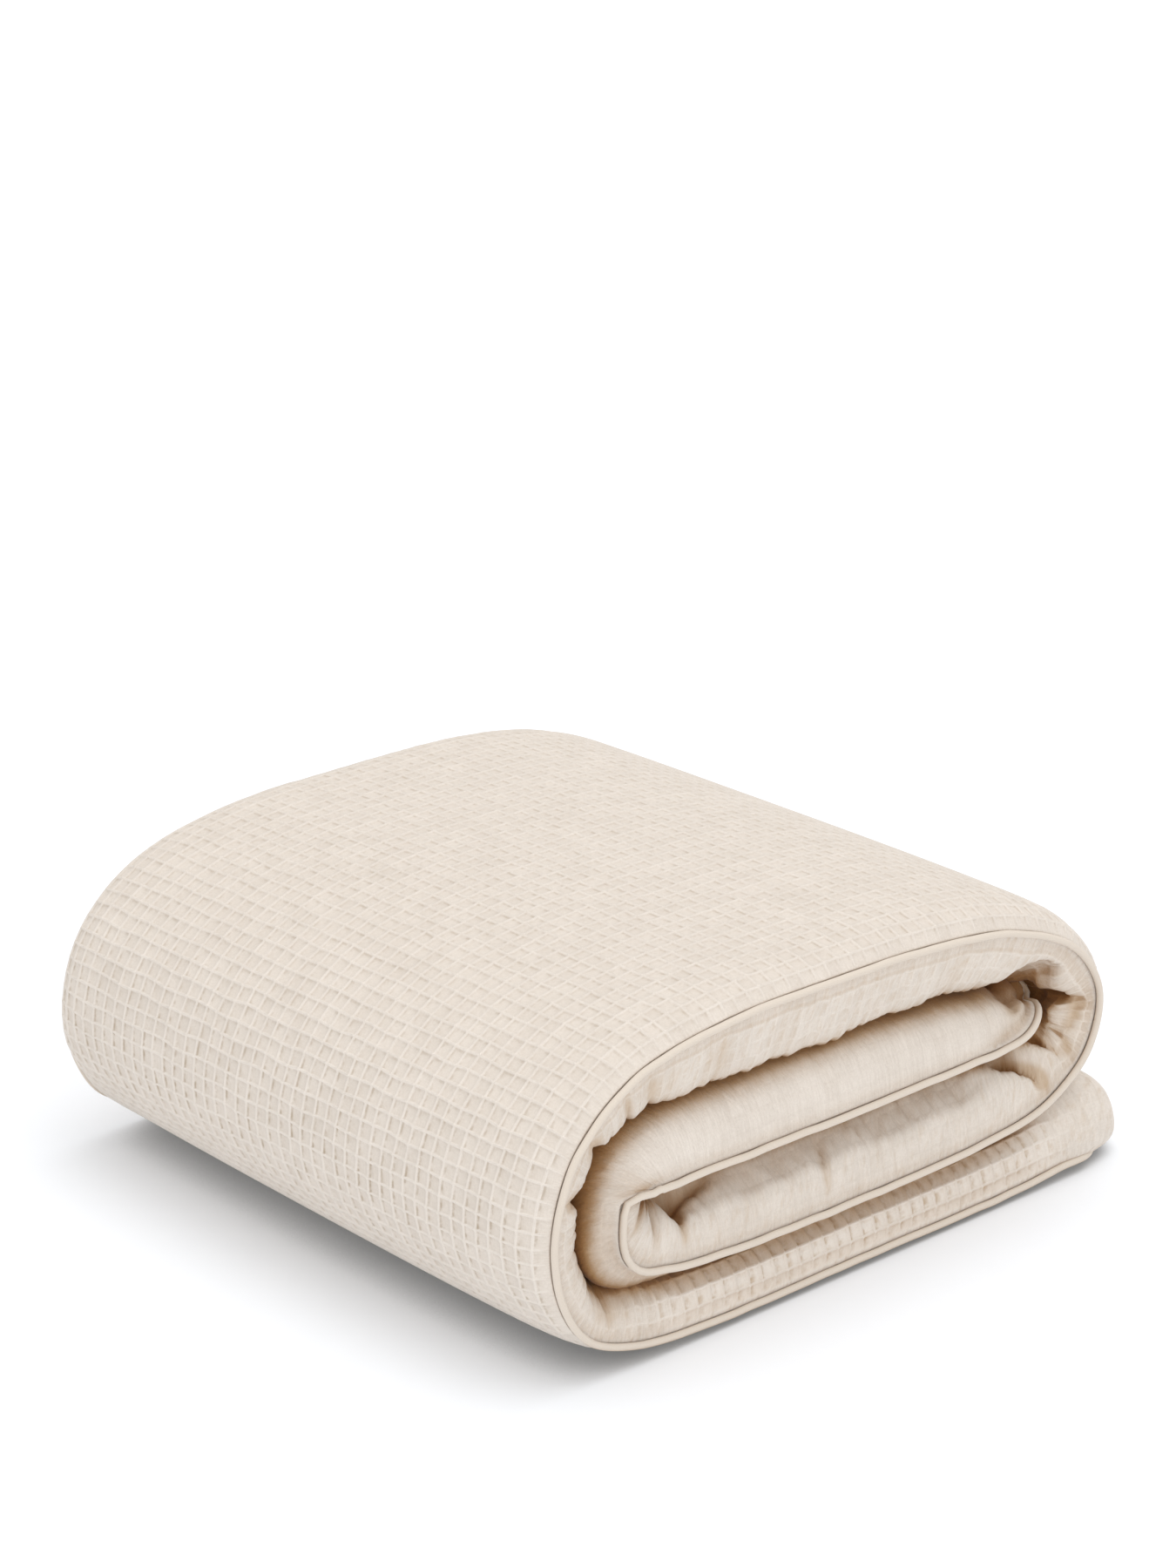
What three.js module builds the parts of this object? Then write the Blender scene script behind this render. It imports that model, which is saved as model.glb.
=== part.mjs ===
// A waffle-weave cot quilt, folded up. One long padded layer lies on the surface, turns up and over
// itself at the left, runs along the top, turns in at the right and comes back inside, where it turns
// once more and ends. A piped seam runs all round its edge. Millimetres, +Z up, with the origin on the
// surface that the quilt lies on, under the middle of its bounding box.
import * as THREE from "three";

// Sizes of the quilt as sewn
const QUILT_WIDTH = 336; // from seam to seam, across the fold
const OUTER_ROUND = 26; // from a seam in to the full height of the outer cloth
const INNER_ROUND = 22; // from a seam in to the full height of the inner cloth
const ROUND_POWER = 2.3; // 2 is an ellipse, more is fuller
const CROWN = 2; // how much each cloth stands higher at the middle of the width than at its sides
const CORNER_RADIUS = 22; // of the quilt's outline, laid flat
const SEAM_THICKNESS = 2.4; // the two cloths sewn together beside the piping
const END_SWELL = { first: 16, last: 5 }; // how far the inner cloth swells out past the seam of each end
const PIPING_RADIUS = 2;
const PIPING_GAP = 0.3; // between the seam and the piping

// The fold, from the end on the surface to the end tucked inside. x and z place the middle of the padding,
// thick is its thickness there, and seam is where the seam lies in it: 1 at the outer cloth, 0 midway,
// -1 at the inner cloth.
const FOLD = [
  { place: "end on the surface", x: 176, z: 19, thick: 38.8, seam: 0.7 },
  { place: "bottom run, by its end", x: 152, z: 18.6, thick: 38, seam: 0.66 },
  { place: "bottom run, right", x: 116, z: 14.8, thick: 30.4, seam: 0.68 },
  { place: "bottom run, middle", x: 12, z: 14.4, thick: 29.6, seam: 0.68 },
  { place: "bottom run, left", x: -78, z: 14.6, thick: 30.2, seam: 0.64 },
  { place: "left bend, foot", x: -126, z: 17.4, thick: 35.6, seam: 0.42 },
  { place: "left bend, heel", x: -150, z: 27.4, thick: 37, seam: 0.36 },
  { place: "left bend, low", x: -162, z: 46, thick: 37, seam: 0.34 },
  { place: "left bend, middle", x: -167, z: 72, thick: 37, seam: 0.26 },
  { place: "left bend, high", x: -156.4, z: 103, thick: 37, seam: 0.28 },
  { place: "left shoulder", x: -126.5, z: 124.8, thick: 37.4, seam: 0.4 },
  { place: "top run, left", x: -78, z: 134.4, thick: 39.6, seam: 0.4 },
  { place: "top run, middle", x: -12, z: 135.8, thick: 40.6, seam: 0.38 },
  { place: "top run, right", x: 58, z: 134.2, thick: 40.8, seam: 0.32 },
  { place: "right shoulder", x: 102, z: 127.2, thick: 40, seam: 0.34 },
  { place: "right bend, high", x: 142.4, z: 110, thick: 38, seam: 0.34 },
  { place: "right bend, middle", x: 158.4, z: 87, thick: 36, seam: 0.36 },
  { place: "right bend, low", x: 152, z: 65, thick: 36, seam: 0.4 },
  { place: "right bend, foot", x: 127, z: 53.6, thick: 38, seam: 0.66 },
  { place: "middle run, right", x: 88, z: 52, thick: 40.4, seam: 0.84 },
  { place: "middle run, centre", x: 8, z: 51.6, thick: 40.8, seam: 0.88 },
  { place: "middle run, left", x: -64, z: 51.8, thick: 40, seam: 0.84 },
  { place: "inner bend, foot", x: -103.8, z: 52.6, thick: 36, seam: 0.74 },
  { place: "inner bend, low", x: -117.8, z: 58.6, thick: 33, seam: 0.7 },
  { place: "inner bend, middle", x: -123.6, z: 72.2, thick: 32, seam: 0.64 },
  { place: "inner bend, high", x: -117.8, z: 85.8, thick: 32, seam: -0.1 },
  { place: "inner bend, top", x: -103.8, z: 91.8, thick: 33.6, seam: -0.76 },
  { place: "upper run, left", x: -60, z: 92.4, thick: 36, seam: -0.86 },
  { place: "upper run, centre", x: 12, z: 92.6, thick: 37, seam: -0.84 },
  { place: "upper run, right", x: 78, z: 90.8, thick: 33.4, seam: -0.8 },
  { place: "upper run, by its end", x: 110, z: 88, thick: 29.6, seam: -0.6 },
  { place: "end tucked inside", x: 127, z: 87, thick: 28, seam: 0.2 },
];

// Puckers: soft troughs in the inner cloth beside its seams, where a bend leaves it too long
const PUCKER_PITCH = 21; // along the middle of the padding
const PUCKER_DEPTH = 3.4;
const PUCKER_REACH = 34; // in from the seam
const PUCKER_FULL_BEND = 0.014; // the curvature, in radians a millimetre, at which they are full

// How finely the fold is cut into sections
const LONGEST_STEP = 19;
const SHORTEST_STEP = 6.4; // in a bend
const END_FRACTIONS = [0, 0.006, 0.018, 0.04, 0.08, 0.15, 0.26, 0.44, 0.7]; // shares of the outer round
const FINE_STEPS_PER_ROW = 60;
const SIDE_FRACTIONS = [0, 0.05, 0.2, 0.46, 1]; // section points in the rounded side, as shares of its round
const FLAT_FRACTIONS = [-0.62, -0.22, 0.22, 0.62]; // section points between the rounded sides
const PIPING_SIDES = 6;
const CORNER_STEPS = 7;

const CLOTH_COLOUR = 0xe9dfd1;
const PIPING_COLOUR = 0xece3d6;

// The fold's middle line, with the thickness and the seam's place along it
const foldLine = new THREE.CatmullRomCurve3(FOLD.map((row) => new THREE.Vector3(row.x, 0, row.z)));
const foldBuild = new THREE.SplineCurve(FOLD.map((row) => new THREE.Vector2(row.thick, row.seam)));

// Everything that is known about the fold at a share of its rows, from 0 to 1
function foldAt(share) {
  const middle = foldLine.getPoint(share);
  const along = foldLine.getTangent(share);
  const build = foldBuild.getPoint(share);
  const outward = new THREE.Vector3(-along.z, 0, along.x);
  return { middle, along, outward, half: build.x / 2, seam: (build.y * build.x) / 2 };
}

// The fold as closely spaced sections, each with its length from the first end and its curvature
function fineFold() {
  const count = (FOLD.length - 1) * FINE_STEPS_PER_ROW;
  const fine = [];
  for (let i = 0; i <= count; i++) {
    const section = foldAt(i / count);
    const last = fine[i - 1];
    const step = last ? section.middle.distanceTo(last.middle) : 0;
    section.length = last ? last.length + step : 0;
    section.bend = last ? section.along.angleTo(last.along) / step : 0;
    fine.push(section);
  }
  fine[0].bend = fine[1].bend;
  return fine;
}

const fine = fineFold();
const QUILT_LENGTH = fine.at(-1).length;

// The section at a length from the first end. Past an end the fold goes straight on.
function sectionAt(length) {
  const inside = THREE.MathUtils.clamp(length, 0, QUILT_LENGTH);
  let low = 0;
  let high = fine.length - 1;
  while (high - low > 1) {
    const mid = (low + high) >> 1;
    if (fine[mid].length <= inside) low = mid;
    else high = mid;
  }
  const a = fine[low];
  const b = fine[high];
  const share = (inside - a.length) / (b.length - a.length);
  const mix = (key) => THREE.MathUtils.lerp(a[key], b[key], share);
  const along = a.along.clone().lerp(b.along, share).normalize();
  const middle = a.middle.clone().lerp(b.middle, share).addScaledVector(along, length - inside);
  const outward = new THREE.Vector3(-along.z, 0, along.x);
  return { length, middle, along, outward, half: mix("half"), seam: mix("seam"), bend: mix("bend") };
}

// A point of the quilt: across its width and out from the middle of the padding. The surface stops it.
function placed(section, across, out) {
  const point = section.middle.clone().addScaledVector(section.outward, out);
  return new THREE.Vector3(point.x, across, Math.max(point.z, 0));
}

// How far the padding has risen at a distance in from a seam, from 0 to 1
function rise(distance, round) {
  const left = 1 - THREE.MathUtils.clamp(distance / round, 0, 1);
  return Math.pow(1 - Math.pow(left, ROUND_POWER), 1 / ROUND_POWER);
}

const fromEnd = (length) => Math.min(length, QUILT_LENGTH - length);

// Half the width at a length, with the outline's rounded corners
function halfWidthAt(length) {
  const short = Math.max(0, CORNER_RADIUS - fromEnd(length));
  return QUILT_WIDTH / 2 - (CORNER_RADIUS - Math.sqrt(CORNER_RADIUS ** 2 - short ** 2));
}

// Depth of the puckers in the inner cloth
function pucker(section, fromSide) {
  const inBend = THREE.MathUtils.smoothstep(section.bend, 0.3 * PUCKER_FULL_BEND, PUCKER_FULL_BEND);
  const bySeam = Math.max(0, 1 - fromSide / PUCKER_REACH);
  const wave = 0.5 - 0.5 * Math.cos((2 * Math.PI * section.length) / PUCKER_PITCH);
  return PUCKER_DEPTH * inBend * bySeam * wave;
}

// How far out from the middle of the padding the outer cloth, side 1, or the inner cloth, side -1, lies
function clothAt(section, across, side) {
  const fromSide = halfWidthAt(section.length) - Math.abs(across);
  const round = side > 0 ? OUTER_ROUND : INNER_ROUND;
  const full = section.half - CROWN * ((2 * across) / QUILT_WIDTH) ** 2;
  const swell = rise(fromEnd(section.length), round) * rise(fromSide, round);
  const troughs = side < 0 ? pucker(section, fromSide) : 0;
  const lift = (full - side * section.seam - troughs) * swell;
  return section.seam + side * Math.max(lift, SEAM_THICKNESS / 2);
}

// Where the section's points lie across the width, from one seam to the other
function acrossPoints(length, round) {
  const half = halfWidthAt(length);
  const flatHalf = half - round;
  const left = SIDE_FRACTIONS.map((share) => -half + share * round);
  const right = left.map((across) => -across).reverse();
  return [...left, ...FLAT_FRACTIONS.map((share) => share * flatHalf), ...right];
}

// How a point of the inner cloth swells out past the seam of the nearer end and its corners, clear of
// the piping
function endSwell(section, across, out) {
  const inEnd = Math.max(OUTER_ROUND - fromEnd(section.length), 0);
  const inSide = Math.max(OUTER_ROUND - QUILT_WIDTH / 2 + Math.abs(across), 0);
  const endShare = inEnd / Math.max(Math.hypot(inEnd, inSide), 1);
  const left = 1 - (1 - inEnd / OUTER_ROUND) ** 2;
  const clear = THREE.MathUtils.smoothstep(section.seam - out, 2 * PIPING_RADIUS, 8 * PIPING_RADIUS);
  const first = section.length < QUILT_LENGTH / 2;
  const swell = (first ? END_SWELL.first : END_SWELL.last) * left * clear * endShare;
  const away = section.along.clone().multiplyScalar(first ? -endShare : endShare);
  away.y = Math.sign(across) * Math.sqrt(1 - endShare ** 2);
  return away.multiplyScalar(swell);
}

// One closed ring of points: over the outer cloth and back along the inner cloth
function ringAt(length) {
  const section = sectionAt(length);
  const outer = acrossPoints(length, OUTER_ROUND).map((across) => {
    return placed(section, across, clothAt(section, across, 1));
  });
  const inner = acrossPoints(length, INNER_ROUND).map((across) => {
    const out = clothAt(section, across, -1);
    return placed(section, across, out).add(endSwell(section, across, out));
  });
  return [...outer, ...inner.reverse()];
}

// Lengths at which the quilt is cut into sections: close in a bend and by an end, wide on a straight run
function sectionLengths() {
  const first = END_FRACTIONS.map((share) => share * OUTER_ROUND);
  const last = first.map((length) => QUILT_LENGTH - length).reverse();
  const between = [];
  let effort = 0;
  for (let i = 1; i < fine.length; i++) {
    if (fromEnd(fine[i].length) < OUTER_ROUND) continue;
    const inBend = THREE.MathUtils.smoothstep(fine[i].bend, 0, PUCKER_FULL_BEND);
    const longest = THREE.MathUtils.lerp(LONGEST_STEP, SHORTEST_STEP, inBend);
    effort += (fine[i].length - fine[i - 1].length) / longest;
    if (effort < 1) continue;
    between.push(fine[i].length);
    effort = 0;
  }
  return [...first, ...between, ...last];
}

// A closed skin over a row of rings with equal numbers of points
function skin(rings, closed) {
  const size = rings[0].length;
  const positions = rings.flat().flatMap((point) => point.toArray());
  const index = [];
  const last = closed ? rings.length : rings.length - 1;
  for (let i = 0; i < last; i++) {
    const here = i * size;
    const next = ((i + 1) % rings.length) * size;
    for (let j = 0; j < size; j++) {
      const k = (j + 1) % size;
      index.push(here + j, next + k, here + k, here + j, next + j, next + k);
    }
  }
  if (!closed) index.push(...endCap(0, size, false), ...endCap((rings.length - 1) * size, size, true));
  const geometry = new THREE.BufferGeometry();
  geometry.setAttribute("position", new THREE.Float32BufferAttribute(positions, 3));
  geometry.setIndex(index);
  geometry.computeVertexNormals();
  return geometry;
}

// A flat end: the outer and inner halves of a ring, joined across
function endCap(start, size, turned) {
  const faces = [];
  for (let j = 0; j < size / 2 - 1; j++) {
    const [a, b, c, d] = [start + j, start + j + 1, start + size - 2 - j, start + size - 1 - j];
    faces.push(...(turned ? [a, c, b, a, d, c] : [a, b, c, a, c, d]));
  }
  return faces;
}

function quilt() {
  const geometry = skin(sectionLengths().map(ringAt), false);
  const material = new THREE.MeshStandardMaterial({ color: CLOTH_COLOUR, roughness: 0.95, metalness: 0 });
  const mesh = new THREE.Mesh(geometry, material);
  mesh.name = "quilt";
  return mesh;
}

// One rounded corner of the piping, laid flat: pairs of a length and a distance across
function pipingCorner(length, across, from) {
  const turn = CORNER_RADIUS + PIPING_GAP + PIPING_RADIUS;
  const arc = new THREE.EllipseCurve(length, across, turn, turn, from, from + Math.PI / 2);
  return arc.getPoints(CORNER_STEPS);
}

// The piping's middle line laid flat, outside the seam by its gap and radius: along one side, round a corner,
// across an end, round a corner, and back in the same way
function pipingOutline() {
  const low = CORNER_RADIUS;
  const high = QUILT_LENGTH - CORNER_RADIUS;
  const wide = QUILT_WIDTH / 2 - CORNER_RADIUS;
  const side = QUILT_WIDTH / 2 + PIPING_GAP + PIPING_RADIUS;
  const sideLengths = sectionLengths().filter((length) => fromEnd(length) > CORNER_RADIUS + 1);
  return [
    ...sideLengths.map((length) => new THREE.Vector2(length, -side)),
    ...pipingCorner(high, -wide, -Math.PI / 2),
    ...pipingCorner(high, wide, 0),
    ...sideLengths.reverse().map((length) => new THREE.Vector2(length, side)),
    ...pipingCorner(low, wide, Math.PI / 2),
    ...pipingCorner(low, -wide, Math.PI),
  ];
}

function piping() {
  const outline = pipingOutline();
  const count = outline.length;
  const line = outline.map((flat) => {
    const section = sectionAt(flat.x);
    return placed(section, flat.y, section.seam);
  });
  const rings = line.map((point, i) => {
    const before = (i + count - 1) % count;
    const after = (i + 1) % count;
    const along = line[after].clone().sub(line[before]).normalize();
    const flatAlong = outline[after].clone().sub(outline[before]).normalize();
    const section = sectionAt(outline[i].x);
    const outside = section.along.clone().multiplyScalar(flatAlong.y);
    outside.y -= flatAlong.x;
    outside.addScaledVector(along, -outside.dot(along)).normalize();
    const third = new THREE.Vector3().crossVectors(along, outside);
    return pipingRing(point, outside, third);
  });
  const material = new THREE.MeshStandardMaterial({ color: PIPING_COLOUR, roughness: 0.9, metalness: 0 });
  const mesh = new THREE.Mesh(skin(rings, true), material);
  mesh.name = "piping";
  return mesh;
}

// One ring of the piping round its middle line
function pipingRing(point, outside, third) {
  const ring = [];
  for (let j = 0; j < PIPING_SIDES; j++) {
    const angle = (-2 * Math.PI * j) / PIPING_SIDES;
    const spoke = outside.clone().multiplyScalar(Math.cos(angle)).addScaledVector(third, Math.sin(angle));
    ring.push(point.clone().addScaledVector(spoke, PIPING_RADIUS));
  }
  return ring;
}

const folded = new THREE.Group();
folded.add(quilt(), piping());
const box = new THREE.Box3().setFromObject(folded);
folded.position.set(-(box.min.x + box.max.x) / 2, 0, 0);

export default folded;
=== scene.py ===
import math

import bpy
import numpy as np
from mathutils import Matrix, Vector


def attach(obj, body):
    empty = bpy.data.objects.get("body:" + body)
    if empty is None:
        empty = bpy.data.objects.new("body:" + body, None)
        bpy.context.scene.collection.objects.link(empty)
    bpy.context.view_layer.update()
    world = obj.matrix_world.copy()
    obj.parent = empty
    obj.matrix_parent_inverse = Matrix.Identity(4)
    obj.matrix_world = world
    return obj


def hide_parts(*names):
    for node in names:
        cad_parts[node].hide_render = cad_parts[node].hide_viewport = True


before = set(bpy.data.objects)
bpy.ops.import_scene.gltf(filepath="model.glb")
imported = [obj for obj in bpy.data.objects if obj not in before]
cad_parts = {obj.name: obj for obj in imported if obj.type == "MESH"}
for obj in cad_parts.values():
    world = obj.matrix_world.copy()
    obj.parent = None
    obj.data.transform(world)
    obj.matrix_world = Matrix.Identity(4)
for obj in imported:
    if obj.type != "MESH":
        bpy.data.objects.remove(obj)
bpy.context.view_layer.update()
mm = 0.001
print("frame loaded:", sorted(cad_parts))


# Rows of a table as dictionaries, by the names of its columns
def table(names, *rows):
    return [dict(zip(names.split(), row)) for row in rows]


# The quilt's sizes, in mm
fold = {
    "shift": -2.189,  # puts the middle of the whole quilt at x = 0
    "width": 336,  # from seam to seam
    "cornerRadius": 22,
    "outerRound": 26,  # from a seam in to the full height of the outer cloth
    "innerRound": 22,
    "roundPower": 2.3,  # 2 is an ellipse, more is fuller
    "endPower": 3.2,  # at the end on the surface
    "powerChange": (250, 330),  # how far along the fold
    "bottomRun": (230, 320),  # how far along the fold its calm cloth ends
    "crown": 2,
    "seamThickness": 2.4,
    "sagPeak": 10,  # from a seam in to where the inner cloth sags most
    "bellyPeak": 13,
    "finePerRow": 60,
}

# Places along the fold, from the end on the surface to the end tucked inside: where the middle of the padding
# lies, how thick it is, where the seam lies in it (1 at the outer cloth, -1 at the inner cloth), how strongly
# the waffle stands up on each cloth, and how far the inner cloth sags and the outer cloth bulges beside the
# seams, if they do. Other tables count these rows from 0.
foldRows = table(
    "place x z thick seam outer inner sag belly",
    ("end on the surface", 176, 21, 42, 0.75, 0.7, 0.05),
    ("bottom run, by its end", 152, 20, 40.4, 0.68, 0.7, 0.15),
    ("bottom run, right", 116, 14.8, 30.4, 0.68, 0.7, 0.95),
    ("bottom run, middle", 12, 14.4, 29.6, 0.68, 0.7, 0.95),
    ("bottom run, left", -78, 14.6, 30.2, 0.64, 0.8, 0.95),
    ("left bend, foot", -126, 17.4, 35.6, 0.42, 1, 0.35),
    ("left bend, heel", -150, 27.4, 37, 0.36, 1, 0.2, -1),
    ("left bend, low", -162, 46, 37, 0.34, 1, 0.3, 1.5),
    ("left bend, middle", -167, 72, 37, 0.26, 1, 0.3, 4),
    ("left bend, high", -156.4, 103, 37, 0.28, 1, 0.3, 4.5),
    ("left shoulder", -126.5, 124.8, 37.4, 0.4, 1, 0.3, 5.3),
    ("top run, left", -78, 134.4, 39.6, 0.4, 1, 0.3, 10.8),
    ("top run, middle", -12, 135.8, 40.6, 0.38, 1, 0.3, 12),
    ("top run, right", 58, 134.2, 40.8, 0.32, 1, 0.3, 9.4),
    ("right shoulder", 102, 127.2, 40, 0.34, 1, 0.35, 4.1),
    ("right bend, high", 142.4, 110, 38, 0.34, 0.9, 0.5, -12),
    ("right bend, middle", 158.4, 87, 36, 0.36, 0.9, 0.5, 1),
    ("right bend, low", 152, 65, 36, 0.4, 0.9, 0.5, 1),
    ("right bend, foot", 127, 53.6, 38, 0.66, 0.6, 0.3, 0, 1),
    ("middle run, right", 88, 52, 40.4, 0.84, 0.5, -0.3, -8, 2),
    ("middle run, centre", 8, 51.6, 40.8, 0.88, 0.5, -0.3, -8, 2),
    ("middle run, left", -64, 51.8, 40, 0.84, 0.5, -0.26, -8, 3),
    ("inner bend, foot", -103.8, 52.6, 36, 0.76, 0.3, -0.1, -5, 9.5),
    ("inner bend, low", -117.8, 58.6, 33, 0.92, 0.15, 0, 0, 14.5),
    ("inner bend, middle", -123.6, 72.2, 32, 0.62, 0.15, 0, 0, 7),
    ("inner bend, cusp", -123.2, 76, 32, 0.48, 0.15, 0, 0, 5),
    ("inner bend, turn", -121.6, 80.6, 32, -0.4, 0.15, 0, 0, 3),
    ("inner bend, high", -117.8, 85.8, 32, -0.65, 0.15, 0.1, 0, 2),
    ("inner bend, top", -103.8, 91.8, 33.6, -0.86, 0.1, 0.3),
    ("upper run, left", -60, 92.4, 36, -0.83, -0.25, 0.4, 0, -1),
    ("upper run, centre", 12, 92.6, 37, -0.84, -0.25, 0.4, 0, -1),
    ("upper run, right", 78, 90.8, 33.4, -0.8, -0.2, 0.4, 0, -1),
    ("upper run, by its end", 110, 88, 29.6, -0.62, -0.1, 0.2),
    ("end tucked inside", 136, 87, 28, 0.05, 0, 0.1),
)


def hermite(a, b, slopeA, slopeB, t):
    cubic = 2 * a - 2 * b + slopeA + slopeB
    square = 3 * b - 3 * a - 2 * slopeA - slopeB
    return ((cubic * t + square) * t + slopeA) * t + a


# A spline through points that stays even over long and short gaps
def pathSpline(points, at):
    p = np.vstack([2 * points[0] - points[1], points, 2 * points[-1] - points[-2]])
    i = np.minimum(at.astype(int), len(points) - 2)
    p0, p1, p2, p3 = p[i], p[i + 1], p[i + 2], p[i + 3]
    gaps = [np.sqrt(np.linalg.norm(b - a, axis=1))[:, None] for a, b in ((p0, p1), (p1, p2), (p2, p3))]
    d0, d1, d2 = gaps
    slope1 = ((p1 - p0) / d0 - (p2 - p0) / (d0 + d1) + (p2 - p1) / d1) * d1
    slope2 = ((p2 - p1) / d1 - (p3 - p1) / (d1 + d2) + (p3 - p2) / d2) * d1
    return hermite(p1, p2, slope1, slope2, (at - i)[:, None])


def valueSpline(values, at):
    p = np.concatenate([values[:1], values, values[-1:]])
    i = np.minimum(at.astype(int), len(values) - 2)
    p0, p1, p2, p3 = p[i], p[i + 1], p[i + 2], p[i + 3]
    return hermite(p1, p2, (p2 - p0) / 2, (p3 - p1) / 2, at - i)


def foldColumn(name):
    return np.array([row.get(name, 0) for row in foldRows], float)


# The fold as closely spaced sections, by the length of the padding's middle line
def fineFold():
    count = (len(foldRows) - 1) * fold["finePerRow"]
    at = np.arange(count + 1) / fold["finePerRow"]
    path = pathSpline(np.stack([foldColumn("x") + fold["shift"], foldColumn("z")], 1), at)
    along = np.gradient(path, axis=0)
    along /= np.linalg.norm(along, axis=1)[:, None]
    step = np.linalg.norm(np.diff(path, axis=0), axis=1)
    half = valueSpline(foldColumn("thick"), at) / 2
    columns = {name: valueSpline(foldColumn(name), at) for name in ("outer", "inner", "sag", "belly")}
    return {
        "row": at,
        "length": np.concatenate([[0], np.cumsum(step)]),
        "x": path[:, 0],
        "z": path[:, 1],
        "alongX": along[:, 0],
        "alongZ": along[:, 1],
        "half": half,
        "seam": valueSpline(foldColumn("seam"), at) * half,
        **columns,
    }


fine = fineFold()
foldLength = fine["length"][-1]


def lengthAtRow(row):
    return float(np.interp(row, fine["row"], fine["length"]))


# The sections at an array of lengths. Past an end the fold goes straight on.
def sectionAt(length):
    inside = np.clip(length, 0, foldLength)
    s = {name: np.interp(inside, fine["length"], fine[name]) for name in fine}
    size = np.hypot(s["alongX"], s["alongZ"])
    s["alongX"] /= size
    s["alongZ"] /= size
    s["x"] += s["alongX"] * (length - inside)
    s["z"] += s["alongZ"] * (length - inside)
    s["length"] = length
    return s


# The seam of the tucked end: how far it stands ahead and how far it is lifted, by how far it lies from the
# middle. It is drawn in at a pucker by each corner, which leaves a lobe on both sides of it.
tuckedSeam = {
    "reach": 30,
    "flat": 4,  # a strip along the seam that the padding leaves flat
    "flatStart": (1285, 1315),  # how far along the fold
    "rows": table(
        "across ahead lift",
        (0, 0, 0.5),
        (100, 0.5, 1),
        (118, 1, 2),
        (128, 1.5, 3.5),
        (135, 2.4, 4.5),
        (140, 3.4, 4.2),
        (143, 4, 2),
        (146, 3.3, -0.4),
        (149, -0.5, -2),
        (152, -2, -1.2),
        (157, -0.5, 0),
        (172, 0, 0),
    ),
}


def tuckedEnd(s, across):
    rows = tuckedSeam["rows"]
    near = np.clip(1 - (foldLength - s["length"]) / tuckedSeam["reach"], 0, 1) ** 2
    at = np.interp(np.abs(across), [row["across"] for row in rows], np.arange(len(rows)))
    ahead, lift = [valueSpline(np.array([row[name] for row in rows]), at) for name in ("ahead", "lift")]
    return near * ahead, near * lift


def placed(s, across, out):
    ahead, lift = tuckedEnd(s, across)
    x = s["x"] - s["alongZ"] * out + s["alongX"] * ahead
    z = s["z"] + s["alongX"] * out + s["alongZ"] * ahead + lift
    return np.stack([x, across, z], -1)


def smoothstep(value, low, high):
    t = np.clip((value - low) / (high - low), 0, 1)
    return t * t * (3 - 2 * t)


# How far the padding has risen at a distance in from a seam, from 0 to 1
def rise(distance, roundSize, length):
    left = 1 - np.clip(distance / roundSize, 0, 1)
    change = smoothstep(length, *fold["powerChange"])
    power = fold["endPower"] + (fold["roundPower"] - fold["endPower"]) * change
    return (1 - left ** power) ** (1 / power)


def fromEnds(length):
    return np.minimum(length, foldLength - length)


def halfWidth(length):
    r = fold["cornerRadius"]
    short = np.clip(r - fromEnds(length), 0, r)
    return fold["width"] / 2 - (r - np.sqrt(r * r - short * short))


# How far in from the nearest long seam a place lies
def fromSides(length, across):
    return np.maximum(halfWidth(length) - np.abs(across), 0)


def faceName(side):
    return "outer" if side > 0 else "inner"


noiseValues = {}
noiseCount = 4096


# Smooth noise from -1 to 1 along a line, from a fixed seed
def softNoise(seed, at):
    if seed not in noiseValues:
        noiseValues[seed] = np.random.RandomState(seed).uniform(-1, 1, noiseCount)
    values = noiseValues[seed]
    i = np.floor(at).astype(int)
    t = at - i
    t = t * t * (3 - 2 * t)
    return values[i % noiseCount] * (1 - t) + values[(i + 1) % noiseCount] * t


# Smooth waves over a surface, from about -1 to 1 and some 6 long, from a fixed seed
def ripple(seed, a, b):
    draw = np.random.RandomState(seed)
    total = 0
    waves = 7
    for i in range(waves):
        angle, phase, size = draw.uniform(0, np.pi), draw.uniform(0, 2 * np.pi), draw.uniform(0.6, 1.5)
        total = total + np.sin((a * np.cos(angle) + b * np.sin(angle)) * size + phase)
    return total / (waves / 2)


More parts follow.
